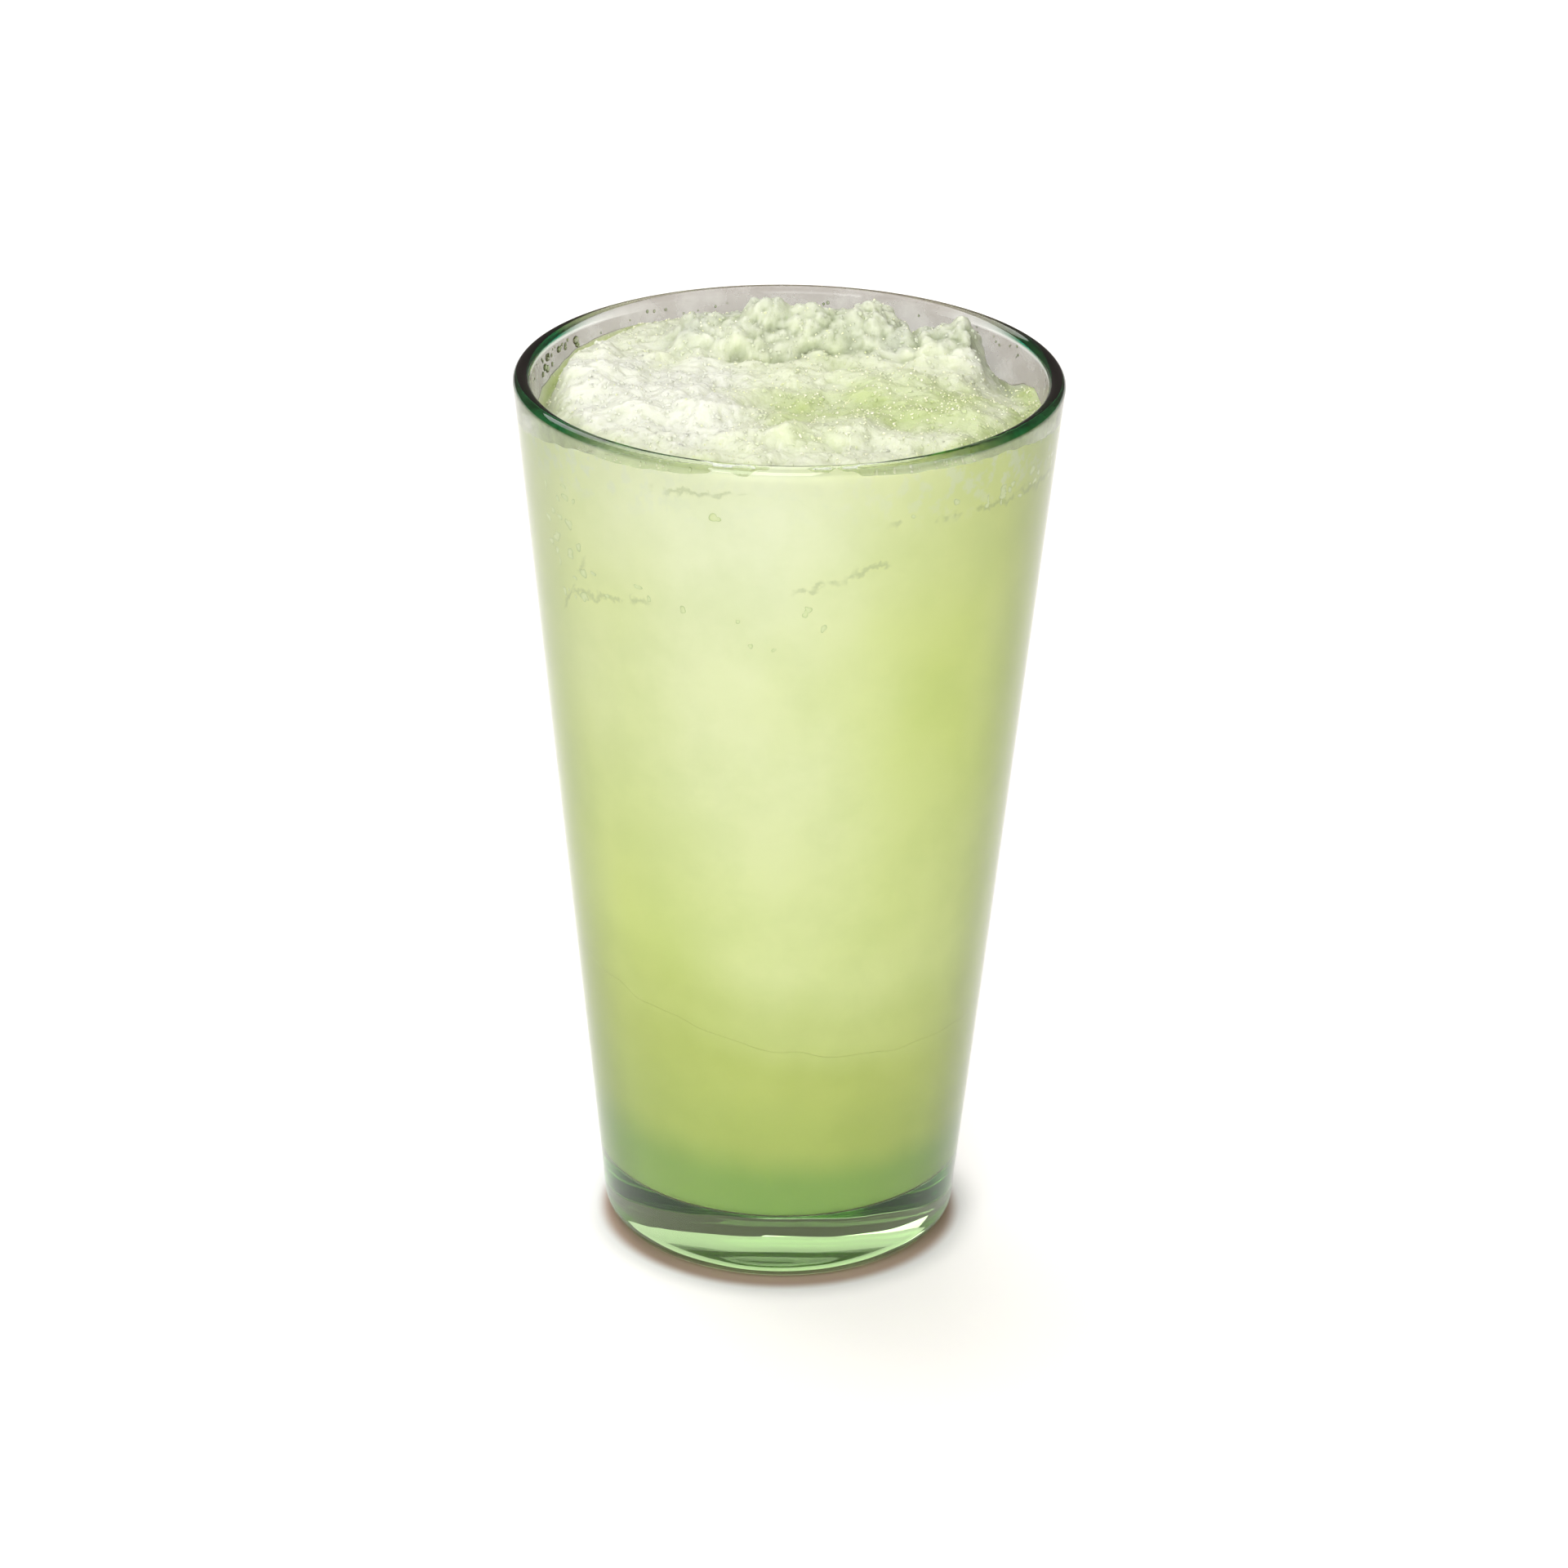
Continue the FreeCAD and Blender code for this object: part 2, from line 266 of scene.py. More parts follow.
# the relief's grains: radius, height, share of the height kept everywhere, gain where proud, seed
RELIEF = ((mm(3.0), mm(1.0), 0.6, 0.9, 11), (mm(1.3), mm(0.5), 0.8, 1.7, 12),
          (mm(0.6), mm(0.28), 1.0, 0.7, 13))


def fractal(x, y, size, octaves, seed):
    """Smooth noise at points in the plane, about -1 to 1, with features of about one size."""
    offset = Vector((seed * 17.3, seed * 5.1, seed * 9.7))
    out = [noise.fractal(Vector((a / size, b / size, 0)) + offset, 1.0, 2.0, octaves)
           for a, b in zip(x, y)]
    return np.array(out)


def grain_relief(points, radius, seed):
    """Soft grains pressed side by side on a surface: near 1 on a grain's top, 0 in the creases."""
    source = np.random.default_rng(seed)
    area = math.pi * inner_radius(RIM_HEIGHT) ** 2
    count = int(1.8 * area / (math.pi * radius ** 2))
    centres = points[source.choice(len(points), count, replace=False)]
    centres = centres + source.uniform(-0.35, 0.35, (count, 3)) * radius
    sizes = radius * source.uniform(0.9, 1.6, count)
    tops = source.uniform(0.55, 1.0, count)
    tree = KDTree(count)
    for i, centre in enumerate(centres):
        tree.insert(centre, i)
    tree.balance()
    out = np.zeros(len(points))
    for k, point in enumerate(points):
        total = 0.0
        for _, i, distance in tree.find_n(point, 4):
            inside = 1 - (distance / sizes[i]) ** 2
            if inside > 0:
                total += (tops[i] * inside) ** 4
        out[k] = total ** 0.25
    return out


def surface_normals(points, faces):
    """Unit normals at a mesh's points, averaged over its quads."""
    across = np.cross(points[faces[:, 2]] - points[faces[:, 0]], points[faces[:, 3]] - points[faces[:, 1]])
    out = np.zeros_like(points)
    for k in range(4):
        np.add.at(out, faces[:, k], across)
    return out / np.linalg.norm(out, axis=1, keepdims=True)


def bump_at(x, y, place, size):
    """A soft round spot of height 1 at a place given in millimetres."""
    away = np.hypot(x - mm(place[0]), y - mm(place[1])) / mm(size)
    return np.exp(-away ** 2)


# wetter (+) and drier (-) spots of the heap: place and size in mm, gain
WET_SPOTS = (((4, -14), 12, 0.55), ((24, -12), 13, 0.45), ((6, 10), 9, 0.25), ((-24, -6), 20, -0.55),
             ((-13, -18), 8, -0.4), ((11, -24), 6, -0.35), ((2, 22), 14, -0.1), ((27, 17), 7, -0.3))


def wet_map(x, y):
    """Where the heap has drained to white snow (0) and where melt stands in it (1)."""
    value = 0.45 + 0.25 * fractal(x, y, mm(9), 3, 3)
    for place, size, gain in WET_SPOTS:
        value = value + gain * bump_at(x, y, place, size)
    by_wall = np.clip((np.hypot(x, y) / inner_radius(HEAP_EDGE) - 0.87) / 0.09, 0, 1)
    return np.clip(value + 0.55 * by_wall, 0, 1)


def eased(value):
    """0 below 0, 1 above 1, and an even S between."""
    value = np.clip(value, 0, 1)
    return value * value * (3 - 2 * value)


RIGHT_BREAK = mm(31.2)        # the right end's x
LEFT_BREAK = mm(37.2)         # the left end's distance from the axis


def broken_edges(x, y):
    """The two steep ends of the heap: right of the second lump, and along the wall on the left.

    Each is a height to add: a low brow before the break and a drop past it."""
    ragged = fractal(x, y, mm(4), 3, 19) * mm(1.3)
    past = eased((x + ragged - RIGHT_BREAK) / mm(1.3))
    near_right = eased((x - mm(24)) / mm(4)) * eased((mm(39) - x) / mm(3))
    near_right = near_right * eased((y - mm(8)) / mm(3)) * eased((mm(27) - y) / mm(4))
    right = near_right * (mm(0.9) * (1 - past) - mm(2.2) * past)
    reach = np.hypot(x, y)
    gap = eased((reach + ragged - LEFT_BREAK) / mm(1.2)) * eased((mm(41.3) - reach) / mm(1.5))
    near_left = eased((mm(-26) - x) / mm(5)) * eased((y + mm(12)) / mm(8))
    brow = eased((LEFT_BREAK - reach - ragged) / mm(2))
    return right + near_left * (mm(0.5) * brow - mm(2.0) * gap)


def ridge_end(x, y):
    """The lower end of the ridge at the back, left of its lumps: 1 on it, 0 elsewhere."""
    ragged = fractal(x, y, mm(4), 3, 23) * mm(1.6)
    along = eased((x + ragged + mm(21)) / mm(5)) * eased(-x / mm(6))
    return along * eased((y + ragged - mm(12)) / mm(2.5)) * eased((mm(29) - y) / mm(6))


def icy_map(x, y):
    """Where the ice has turned clear and grey: the ridge at the back, and the lump beside it."""
    ridge = np.clip((y - mm(11)) / mm(5), 0, 1) * np.clip((x + mm(24)) / mm(8), 0, 1)
    patchy = 0.75 + 0.5 * fractal(x, y, mm(4), 2, 15)
    return np.clip(ridge * patchy, 0, 1)


def crevice_map(x, y):
    """The depth of the narrow gap along the foot of the ridge at the back, and beside the second lump."""
    middle = mm(12.8) + mm(1.6) * np.sin(x / mm(5.0)) + fractal(x, y, mm(5), 2, 9) * mm(1.2)
    along = np.clip((x + mm(14)) / mm(8), 0, 1) * np.clip((mm(22) - x) / mm(6), 0, 1)
    broken = np.clip(0.8 + 1.0 * fractal(x, y, mm(3), 2, 10), 0, 1.4)
    gap = mm(1.5) * np.exp(-((y - middle) / mm(0.9)) ** 2) * along * broken
    notch = mm(1.6) * np.exp(-((x - mm(20.4)) / mm(0.8)) ** 2) * np.clip((y - mm(11)) / mm(5), 0, 1)
    return gap + notch


def wetness_at(x, y):
    """wet_map at one point."""
    return wet_map(np.array([x]), np.array([y]))[0]


def make_core():
    """The packed ice: one closed mesh with its relief, from the heap's top down to the melt."""
    ux, uy, top_faces, edge = disc_grid(HEAP_CELLS)
    turn = np.arctan2(uy, ux)
    reach = np.hypot(ux, uy)
    edge_radius = inner_radius(HEAP_EDGE)
    x, y = ux * edge_radius, uy * edge_radius
    height = np.array([surface_height(slush_tree, a, b) for a, b in zip(x, y)]) + broken_edges(x, y)
    shoulder = ridge_end(x, y)
    height = height + shoulder * RIDGE_END_RISE
    wet = wet_map(x, y)
    plain = np.stack([x, y, height], axis=1)
    normals = surface_normals(plain, top_faces)
    proud = np.clip((height - mm(148.3)) / mm(3), 0, 1) * np.clip((y - mm(6)) / mm(5), 0, 1)
    proud = np.maximum(proud, 0.8 * shoulder)
    inside = np.clip((1 - reach) / 0.06, 0, 1)
    calm = 1 - 0.35 * wet
    lumps, pieces, crumbs = ((grain_relief(plain, radius, seed) - 0.5) * rise * (kept + gain * proud)
                             for radius, rise, kept, gain, seed in RELIEF)
    rough = fractal(x, y, mm(0.9), 3, 5) * mm(0.07)
    relief = lumps + (pieces + crumbs) * calm + rough - crevice_map(x, y)
    height = height + fractal(x, y, mm(3.5), 2, 6) * mm(0.3)
    x = x + normals[:, 0] * relief * inside
    y = y + normals[:, 1] * relief * inside
    height = height + normals[:, 2] * relief * inside
    # near the wall the points spread out to meet it at their own height
    grow = (inner_radius(height) + OVERLAP) / edge_radius
    share = np.clip((reach - 0.9) / 0.1, 0, 1)
    scale = 1 + (grow - 1) * share
    x, y = x * scale, y * scale
    points = [np.stack([x, y, height], axis=1)]
    faces = [top_faces]

    count = len(edge)
    index = np.arange(count)
    ahead = (index + 1) % count
    turns, rim_height = turn[edge], height[edge]
    boundary = melt_height(inner_radius(MELT_EDGE), turns)
    rings = []
    for row in range(1, SIDE_ROWS + 1):
        level = rim_height + (boundary + SEAM - rim_height) * row / SIDE_ROWS
        rings.append(ring(inner_radius(level) + OVERLAP, turns, level))
    for step in range(1, UNDER_RINGS):
        radius = (inner_radius(boundary) + OVERLAP) * (1 - step / UNDER_RINGS)
        rings.append(ring(radius, turns, melt_height(radius, turns) + SEAM))
    first = len(x)
    faces.append(np.stack([edge, first + index, first + ahead, np.roll(edge, -1)], axis=1))
    for k in range(len(rings) - 1):
        faces.append(ring_faces(first + k * count, first + (k + 1) * count, count))
    last = first + (len(rings) - 1) * count
    fan = np.stack([last + index, np.full(count, last + count), last + ahead], axis=1)
    points = np.concatenate(points + rings + [np.array([[0, 0, surface_height(melt_tree, 0, 0) + SEAM]])])
    item = add_mesh("slush_core", points, [list(f) for part in faces for f in part] + fan.tolist())
    for name, values in (("wetness", wet), ("icy", icy_map(x, y)), ("relief", relief / mm(1))):
        set_attribute(item, name, np.concatenate([values, np.zeros(len(points) - len(values))]))
    set_attribute(item, "above_melt", over_melt(points))
    set_attribute(item, "soaked_and_shaded", soak_and_shade_map(points))
    side_start, under_start = len(top_faces), len(top_faces) + SIDE_ROWS * count
    for polygon in item.data.polygons:
        polygon.material_index = int(polygon.index >= side_start) + int(polygon.index >= under_start)
    sharpen_borders(item)
    return item


def soak_and_shade_map(points):
    """How far melt soaks the ice by the wall, mixed with painted shade: least in the middle of the front,
    where light falls, most on the right.
    """
    x, y, z = points.T
    across = x / np.maximum(np.hypot(x, y), mm(1))
    rise = np.clip((z - mm(52)) / mm(60), 0, 1)
    centre = 0.05 - 0.22 * rise
    width = np.where(across < centre, 0.52 + 0.60 * rise, 0.78 - 0.16 * rise)
    uneven = np.array([noise.fractal(Vector((a / mm(16), b / mm(16), c / mm(26))), 1.0, 2.0, 3)
                       for a, b, c in points])
    return np.clip(1 - np.exp(-((across - centre) / width) ** 2) + 0.12 * uneven, 0, 1)


def over_melt(points):
    """Height over the melt's upper side; well below it, stretched to reach one value at the floor."""
    level = np.array([surface_height(melt_tree, p[0], p[1]) for p in points])
    near, floor, lowest = mm(6), mm(10), mm(34)
    stretched = -lowest + (lowest - near) * (points[:, 2] - floor) / (level - near - floor)
    return np.where(points[:, 2] > level - near, points[:, 2] - level, stretched)


# ---------------------------------------------------------------- loose grains

def grain_shape(detail):
    """Points and triangles of a ball of radius 1: 20 triangles, or 80 at detail 2."""
    bm = bmesh.new()
    bmesh.ops.create_icosphere(bm, subdivisions=detail, radius=1.0)
    points = np.array([v.co for v in bm.verts])
    faces = np.array([[v.index for v in f.verts] for f in bm.faces])
    bm.free()
    return points, faces


def turned(count, source):
    """Random rotation matrices, from random unit quaternions."""
    q = source.normal(size=(count, 4))
    w, x, y, z = (q / np.linalg.norm(q, axis=1, keepdims=True)).T
    return np.stack([1 - 2 * (y * y + z * z), 2 * (x * y - z * w), 2 * (x * z + y * w),
                     2 * (x * y + z * w), 1 - 2 * (x * x + z * z), 2 * (y * z - x * w),
                     2 * (x * z - y * w), 2 * (y * z + x * w), 1 - 2 * (x * x + y * y)],
                    axis=1).reshape(count, 3, 3)


def make_grains(name, core_tree, count, sizes, detail, lumpy, lift, likely, seed):
    """Loose grains of ice on the heap, joined in one mesh.

    likely(x, y) is the share of grains kept at a place, and lift how far they stand out of the core."""
    source = np.random.default_rng(seed)
    base, triangles = grain_shape(detail)
    reach = inner_radius(RIM_HEIGHT - mm(6))
    places = []
    while len(places) < count:
        x, y = source.uniform(-reach, reach, 2)
        size = source.uniform(*sizes)
        if source.random() > likely(x, y):
            continue
        hit, normal, _, _ = core_tree.ray_cast(Vector((x, y, RIM_HEIGHT + mm(20))), DOWN)
        if hit is None:
            continue
        centre = hit + normal * size * lift
        if math.hypot(centre.x, centre.y) + size < inner_radius(centre.z) - mm(0.1):
            places.append((*centre, size))
    places = np.array(places)
    shape = base * (1 + source.uniform(-lumpy, lumpy, (count, len(base), 1)))
    shape = shape * source.uniform(0.6, 1.15, (count, 1, 3))
    shape = np.einsum("kij,kpj->kpi", turned(count, source), shape)
    points = (shape * places[:, None, 3:] + places[:, None, :3]).reshape(-1, 3)
    faces = triangles[None] + (np.arange(count) * len(base))[:, None, None]
    item = add_mesh(name, points, faces.reshape(-1, 3), smooth=detail > 1)
    set_attribute(item, "wetness", np.repeat(wet_map(places[:, 0], places[:, 1]), len(base)))
    set_attribute(item, "icy", np.repeat(icy_map(places[:, 0], places[:, 1]), len(base)))
    set_attribute(item, "relief", np.zeros(len(points)))
    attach(item, "root")
    return item


# ---------------------------------------------------------------- air pockets and drops

def on_wall(turn, level, depth):
    """A point on the glass's inner wall: turn from the front, height, and depth into the glass."""
    radius = inner_radius(level) + depth
    return radius * np.sin(turn), -radius * np.cos(turn), level


# groups of pockets: how many, then the ranges of their turns from the front in degrees, their heights
# and their half widths in mm
POCKET_GROUPS = ((26, (-66, -52), (119, 139), (0.25, 1.0)), (12, (-50, 10), (118, 126), (0.3, 0.8)),
                 (22, (25, 84), (137, 141), (0.25, 0.8)))
LONE_POCKET = (-15.5, 140.5, 0.9, 0.8)


def make_pockets():
    """Flat air pockets between the ice and the glass, each a thin uneven lens."""
    source = np.random.default_rng(31)
    spots = [LONE_POCKET]
    for count, turns, levels, sizes in POCKET_GROUPS:
        for _ in range(count):
            spots.append((source.uniform(*turns), source.uniform(*levels), *source.uniform(*sizes, 2)))
    rings, sectors = 5, 24
    points, faces, rim = [], [], []
    for turn, level, wide, tall in spots:
        first = len(points)
        phase = source.uniform(0, math.tau, 3)
        points.append(on_wall(math.radians(turn), mm(level), OVERLAP + mm(0.08)))
        rim.append(0.0)
        for step in range(1, rings + 1):
            share = step / rings
            for k in range(sectors):
                a = math.tau * k / sectors
                ragged = 1 + sum(0.30 / math.sqrt(n) * math.sin(n * a + phase[n - 1]) for n in (1, 2, 3))
                depth = OVERLAP - mm(0.03) + mm(0.11) * (1 - share ** 4)
                points.append(on_wall(math.radians(turn) + mm(wide) * share * ragged * math.cos(a) / mm(40),
                                      mm(level) + mm(tall) * share * ragged * math.sin(a), depth))
                rim.append(share)
        back = len(points)
        points.append(on_wall(math.radians(turn), mm(level), OVERLAP - mm(0.2)))
        rim.append(1.0)
        for k in range(sectors):
            after = (k + 1) % sectors
            faces.append((first, first + 1 + k, first + 1 + after))
            faces.append((back, back - sectors + after, back - sectors + k))
        for step in range(rings - 1):
            start = first + 1 + step * sectors
            for k in range(sectors):
                after = (k + 1) % sectors
                faces.append((start + k, start + sectors + k, start + sectors + after, start + after))
    item = add_mesh("air_pockets", points, faces)
    set_attribute(item, "rim", rim)
    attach(item, "root")
    return item


def make_drops():
    """Drops of melt on the inside of the glass above the ice, thickest at the back on the left."""
    source = np.random.default_rng(41)
    base, triangles = grain_shape(3)
    spots = []
    while len(spots) < 16:
        turn, level = math.radians(source.uniform(-132, -104)), source.uniform(145.2, 148.0)
        spots.append((turn, mm(level), mm(source.uniform(0.25, 0.75))))
    while len(spots) < 70:
        turn, level = source.uniform(-math.pi, math.pi), source.uniform(146.5, 148.3)
        if abs(turn) > math.radians(70):
            spots.append((turn, mm(level), mm(source.uniform(0.12, 0.3))))
    points = []
    for turn, level, size in spots:
        centre = np.array(on_wall(turn, level, mm(0.02)))
        outward = np.array((math.sin(turn), -math.cos(turn), 0))
        shape = base * size * source.uniform(0.85, 1.15, 3)
        flat = shape - np.outer(shape @ outward, outward) * 0.45
        points.append(flat + centre)
    faces = triangles[None] + (np.arange(len(spots)) * len(base))[:, None, None]
    item = add_mesh("wall_drops", np.concatenate(points), faces.reshape(-1, 3))
    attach(item, "root")
    return item


# ---------------------------------------------------------------- the melt

MELT_SECTORS = 4 * HEAP_CELLS
MELT_ROWS = 24


def corner_profile():
    """(radius, height) of the glass's inside from the middle of its floor up past its corner."""
    low, corner = FLOOR_LEVEL, CORNER_ROUNDING
    profile = [(inner_radius(low) * k / 8, low - OVERLAP) for k in range(1, 7)]
    centre = inner_radius(low) + WALL_SLOPE * corner - corner * math.sqrt(1 + WALL_SLOPE ** 2)
    finish = math.pi / 2 - math.atan(WALL_SLOPE)
    for k in range(11):
        a = -math.pi / 2 + finish * k / 10
        profile.append((centre + (corner + OVERLAP) * math.cos(a),
                        low + corner + (corner + OVERLAP) * math.sin(a)))
    return profile


def make_melt():
    """The cloudy drink under the ice, out to the glass."""
    edge_x, edge_y, _, edge = disc_grid(HEAP_CELLS)
    turns = np.arctan2(edge_y[edge], edge_x[edge])
    profile = corner_profile()
    rings = [ring(radius, turns, level) for radius, level in profile]
    top, low = melt_height(inner_radius(MELT_EDGE), turns), profile[-1][1]
    for row in range(1, MELT_ROWS + 1):
        level = low + (top - low) * row / MELT_ROWS
        rings.append(ring(inner_radius(level) + OVERLAP, turns, level))
    for step in range(1, UNDER_RINGS):
        radius = (inner_radius(top) + OVERLAP) * (1 - step / UNDER_RINGS)
        rings.append(ring(radius, turns, melt_height(radius, turns)))
    points = np.concatenate([np.array([[0, 0, FLOOR_LEVEL - OVERLAP]])] + rings
                            + [np.array([[0, 0, surface_height(melt_tree, 0, 0)]])])
    index = np.arange(MELT_SECTORS)
    ahead = (index + 1) % MELT_SECTORS
    faces = np.stack([np.zeros(MELT_SECTORS, int), 1 + ahead, 1 + index], axis=1).tolist()
    for k in range(len(rings) - 1):
        first = 1 + k * MELT_SECTORS
        faces += ring_faces(first, first + MELT_SECTORS, MELT_SECTORS, turned=True).tolist()
    last = 1 + (len(rings) - 1) * MELT_SECTORS
    faces += np.stack([last + index, last + ahead,
                       np.full(MELT_SECTORS, len(points) - 1)], axis=1).tolist()
    item = add_mesh("melt_body", points, faces)
    set_attribute(item, "above_melt", over_melt(points))
    set_attribute(item, "soaked_and_shaded", soak_and_shade_map(points))
    cover = MELT_SECTORS * (len(profile) + MELT_ROWS)
    for polygon in item.data.polygons:
        polygon.material_index = 0 if polygon.index < cover else 1
    sharpen_borders(item)
    return item


# ---------------------------------------------------------------- materials

def new_material(name):
    """An empty node material: (material, its node tree, its output node)."""
    material = bpy.data.materials.new(name)
    material.use_nodes = True
    tree = material.node_tree
    tree.nodes.clear()
    return material, tree, tree.nodes.new("ShaderNodeOutputMaterial")


def node(tree, kind, **settings):
    """A shader node. Settings name its properties, or its inputs with a value or another node's output."""
    made = tree.nodes.new(kind)
    for key, value in settings.items():
        label = key.replace("_", " ")
        if label not in made.inputs:
            setattr(made, key, value)
        elif isinstance(value, bpy.types.NodeSocket):
            tree.links.new(value, made.inputs[label])
        else:
            made.inputs[label].default_value = value
    return made


def math_node(tree, operation, *values):
    """A math node's output; each value is a number or another node's output."""
    made = node(tree, "ShaderNodeMath", operation=operation)
    for socket, value in zip(made.inputs, values):
        if isinstance(value, (int, float)):
            socket.default_value = value
        else:
            tree.links.new(value, socket)
    return made.outputs[0]


def product(tree, *values):
    """The product of any number of outputs or numbers."""
    out = values[0]
    for value in values[1:]:
        out = math_node(tree, "MULTIPLY", out, value)
    return out


def span(tree, value, low, high):
    """How far a value has come from low to high, eased and held between 0 and 1."""
    made = node(tree, "ShaderNodeMapRange", interpolation_type="SMOOTHSTEP", Value=value,
                From_Min=low, From_Max=high)
    return made.outputs[0]


def mixed(tree, share, first, second, blend_type="MIX"):
    """A blend of two colours, each a (red, green, blue) or another node's output."""
    made = node(tree, "ShaderNodeMix", data_type="RGBA", blend_type=blend_type)
    for label, value in (("Factor", share), ("A", first), ("B", second)):
        if isinstance(value, tuple):
            made.inputs[label].default_value = (*value, 1)
        elif isinstance(value, float):
            made.inputs[label].default_value = value
        else:
            tree.links.new(value, made.inputs[label])
    return made.outputs["Result"]


def mixed_shader(tree, share, first, second):
    """A blend of two shader nodes' outputs."""
    made = node(tree, "ShaderNodeMixShader")
    for socket, value in zip(made.inputs, (share, first.outputs[0], second.outputs[0])):
        tree.links.new(value, socket)
    return made


def ramp(tree, factor, stops):
    """A colour ramp over a factor, of (place, colour) stops, the first and last at its ends."""
    low, high = stops[0][0], stops[-1][0]
    place = node(tree, "ShaderNodeMapRange", Value=factor, From_Min=low, From_Max=high)
    made = node(tree, "ShaderNodeValToRGB", Fac=place.outputs[0])
    made.color_ramp.interpolation = "EASE"
    elements = made.color_ramp.elements
    while len(elements) < len(stops):
        elements.new(0.5)
    for element, (stop, colour) in zip(elements, stops):
        element.position = (stop - low) / (high - low)
        element.color = (*colour, 1)
    return made.outputs["Color"]


def object_place(tree):
    """The place on the part as one output, and as x, y and z."""
    place = node(tree, "ShaderNodeTexCoord").outputs["Object"]
    parts = node(tree, "ShaderNodeSeparateXYZ", Vector=place)
    return place, parts.outputs


def attribute(tree, name):
    """A number stored at each point of the mesh."""
    return node(tree, "ShaderNodeAttribute", attribute_name=name).outputs["Fac"]


def noise_at(tree, place, scale, **settings):
    """Smooth noise, about 0 to 1, over a place."""
    return node(tree, "ShaderNodeTexNoise", Vector=place, Scale=scale, **settings).outputs["Fac"]


def finished(material, tree, output, shader):
    """The material with its surface linked to a shader node."""
    tree.links.new(shader.outputs[0], output.inputs["Surface"])
    return material


GLASS_CAST, GLASS_DENSITY = (0.38, 0.74, 0.08, 1), 18.0       # what is left of white in thick glass
LIP_PAINTED_SHADE = (0.001, 0.11, 0.04)
LIP_FROM, LIP_TO = mm(148.4), mm(149.2)                       # heights over which the lip's painted shade sets in
FILM_FROM, FILM_TO = mm(134), mm(139)                         # and the film on the inside: mist and smear, with painted shade at the back
MIST_AND_SHADE_COLOUR = (0.26, 0.22, 0.18)
SMEAR_STOPS = ((0.0, (0.30, 0.32, 0.15)), (1.0, (0.52, 0.58, 0.30)))


def glass_material():
    """Clear glass with a green cast in its thickness.

    Its lip is darker at the front and sides, a painted shade that stands in for the dark
    surroundings seen through it. Inside, above the ice, a dark film at the back is partly mist and
    partly painted shade, and the sides are smeared with melt."""
    material, tree, output = new_material("clear_glass")
    absorb = node(tree, "ShaderNodeVolumeAbsorption", Density=GLASS_DENSITY, Color=GLASS_CAST)
    tree.links.new(absorb.outputs[0], output.inputs["Volume"])
    place, (x, y, z) = object_place(tree)
    sideways = math_node(tree, "ABSOLUTE", x)
    reach = math_node(tree, "SQRT", math_node(tree, "ADD", math_node(tree, "MULTIPLY", x, x),
                                              math_node(tree, "MULTIPLY", y, y)))
    wall = math_node(tree, "MULTIPLY_ADD", z, WALL_SLOPE, inner_radius(0.0) + mm(0.5))
    wall = math_node(tree, "MULTIPLY_ADD", span(tree, z, mm(148.5), mm(150)), mm(1.6), wall)
    inside = product(tree, math_node(tree, "LESS_THAN", reach, wall), span(tree, z, FILM_FROM, FILM_TO))
    under_lip = span(tree, z, mm(148.9), mm(148.3))

    aside = span(tree, sideways, mm(12), mm(36))
    # painted shade: the lip darker at the front and towards the sides, standing in for the dark
    # surroundings seen through it
    painted_lip_shade = product(tree, math_node(tree, "MULTIPLY_ADD", aside, 0.8, 0.2),
                   span(tree, y, mm(34), mm(18)), span(tree, z, LIP_FROM, LIP_TO))
    surface = node(tree, "ShaderNodeBsdfPrincipled", Transmission_Weight=1.0, IOR=GLASS_IOR, Roughness=0.0,
                   Base_Color=mixed(tree, painted_lip_shade, (1, 1, 1), LIP_PAINTED_SHADE))

    thick = span(tree, noise_at(tree, place, 160.0, Detail=5.0, Roughness=0.6), 0.25, 0.75)
    # partly mist, partly painted shade: a dark film inside the back wall that stands in for the shade seen
    # through it
    mist_and_shade = product(tree, math_node(tree, "MULTIPLY_ADD", span(tree, y, mm(-22), mm(6)), 0.55, 0.06),
                     math_node(tree, "MULTIPLY_ADD", thick, 0.3, 0.85), inside,
                     math_node(tree, "MAXIMUM", under_lip, span(tree, y, mm(22), mm(36))))
    side = product(tree, span(tree, sideways, mm(26), mm(35)), span(tree, y, mm(2), mm(-5)))
    smeared = product(tree, side, math_node(tree, "MULTIPLY_ADD", thick, 0.4, 0.5), inside, under_lip)
    film = node(tree, "ShaderNodeBsdfDiffuse",
                Color=mixed(tree, side, MIST_AND_SHADE_COLOUR, ramp(tree, thick, SMEAR_STOPS)))
    covered = mixed_shader(tree, math_node(tree, "MAXIMUM", mist_and_shade, smeared), surface, film)
    return finished(material, tree, output, covered)


# the colour seen through the glass at heights over the melt's upper side, darkest down at the floor, where
# the ice is dry, in painted light, and where it is soaking wet, in painted shade
DRY_AND_LIT_STOPS = ((-0.034, (0.18, 0.36, 0.06)), (-0.027, (0.19, 0.35, 0.06)), (-0.018, (0.39, 0.48, 0.085)),
             (-0.006, (0.46, 0.53, 0.10)), (0.004, (0.61, 0.67, 0.18)), (0.016, (0.84, 0.89, 0.30)),
             (0.060, (0.91, 0.935, 0.42)), (0.100, (0.96, 0.98, 0.57)))
SOAKED_AND_SHADED_STOPS = ((-0.034, (0.20, 0.36, 0.06)), (-0.027, (0.21, 0.36, 0.06)), (-0.018, (0.41, 0.50, 0.085)),
                (-0.006, (0.48, 0.55, 0.095)), (0.004, (0.56, 0.64, 0.12)), (0.016, (0.64, 0.74, 0.13)),
                (0.060, (0.63, 0.75, 0.11)), (0.100, (0.66, 0.74, 0.18)))


def pressed(colour):
    """The colour that a thing pressed against glass needs to look like colour through it.

    Less than half of its light leaves through the glass's outer face; the rest is turned back to it."""
    escaping = 1 / GLASS_IOR ** 2
    return tuple(c / (escaping + (1 - escaping) * c) for c in colour)


